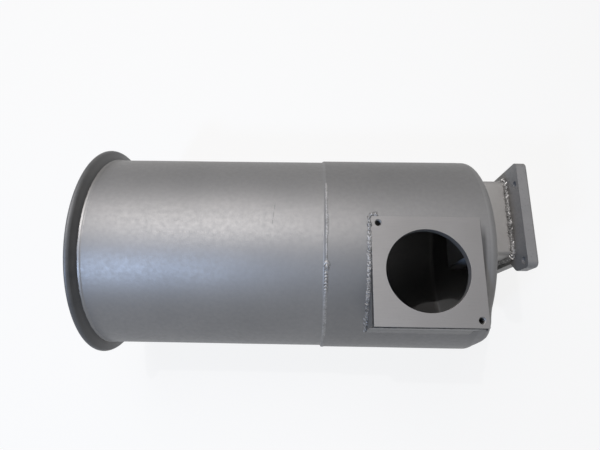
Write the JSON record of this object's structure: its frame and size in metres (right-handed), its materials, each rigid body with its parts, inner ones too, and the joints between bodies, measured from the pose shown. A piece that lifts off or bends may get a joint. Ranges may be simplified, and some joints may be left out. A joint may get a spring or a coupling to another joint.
{
  "type": "muffler",
  "caption": "Round welded muffler can with a clamp ring at its open end, a square side port plate, and a square outlet duct with a bolted flange; baffles, core tubes and packing inside.",
  "frame": {"origin": "centre of the clamp ring's mating face, on the shell's axis", "axes": "+X along the shell towards the outlet flange, +Z out of the side port, +Y to the side that the outlet duct is offset to"},
  "size_m": [0.659, 0.3314, 0.3314],
  "materials": {
    "satin_sheet": "satin grey heat-resistant coat over sheet steel",
    "dark_ring": "dark turned steel",
    "machined_plate": "matte ground plate",
    "flange_steel": "satin grey coat over plate",
    "painted_weld": "coated weld bead",
    "bright_weld": "bare bright weld bead",
    "bare_inner_sheet": "bare sheet darkened inside",
    "wool": "coarse mineral wool"
  },
  "bodies": {
    "root": {"clamp_ring": "dark_ring", "ring_weld": "painted_weld", "front_shell": "satin_sheet", "seam_weld": "painted_weld", "rear_shell": "satin_sheet", "end_cap": "satin_sheet", "port_plate": "machined_plate", "port_wall_left": "satin_sheet", "port_wall_right": "satin_sheet", "port_wall_lower": "satin_sheet", "port_foot_weld": "painted_weld", "port_plate_weld": "painted_weld", "port_corner_patch": "satin_sheet", "outlet_duct": "satin_sheet", "outlet_flange": "flange_steel", "duct_flange_weld": "bright_weld", "duct_cap_weld": "painted_weld", "front_baffle": "bare_inner_sheet", "rear_baffle": "bare_inner_sheet", "core_tube_1": "bare_inner_sheet", "core_tube_2": "bare_inner_sheet", "core_tube_3": "bare_inner_sheet", "packing": "wool"}
  },
  "joints": []
}
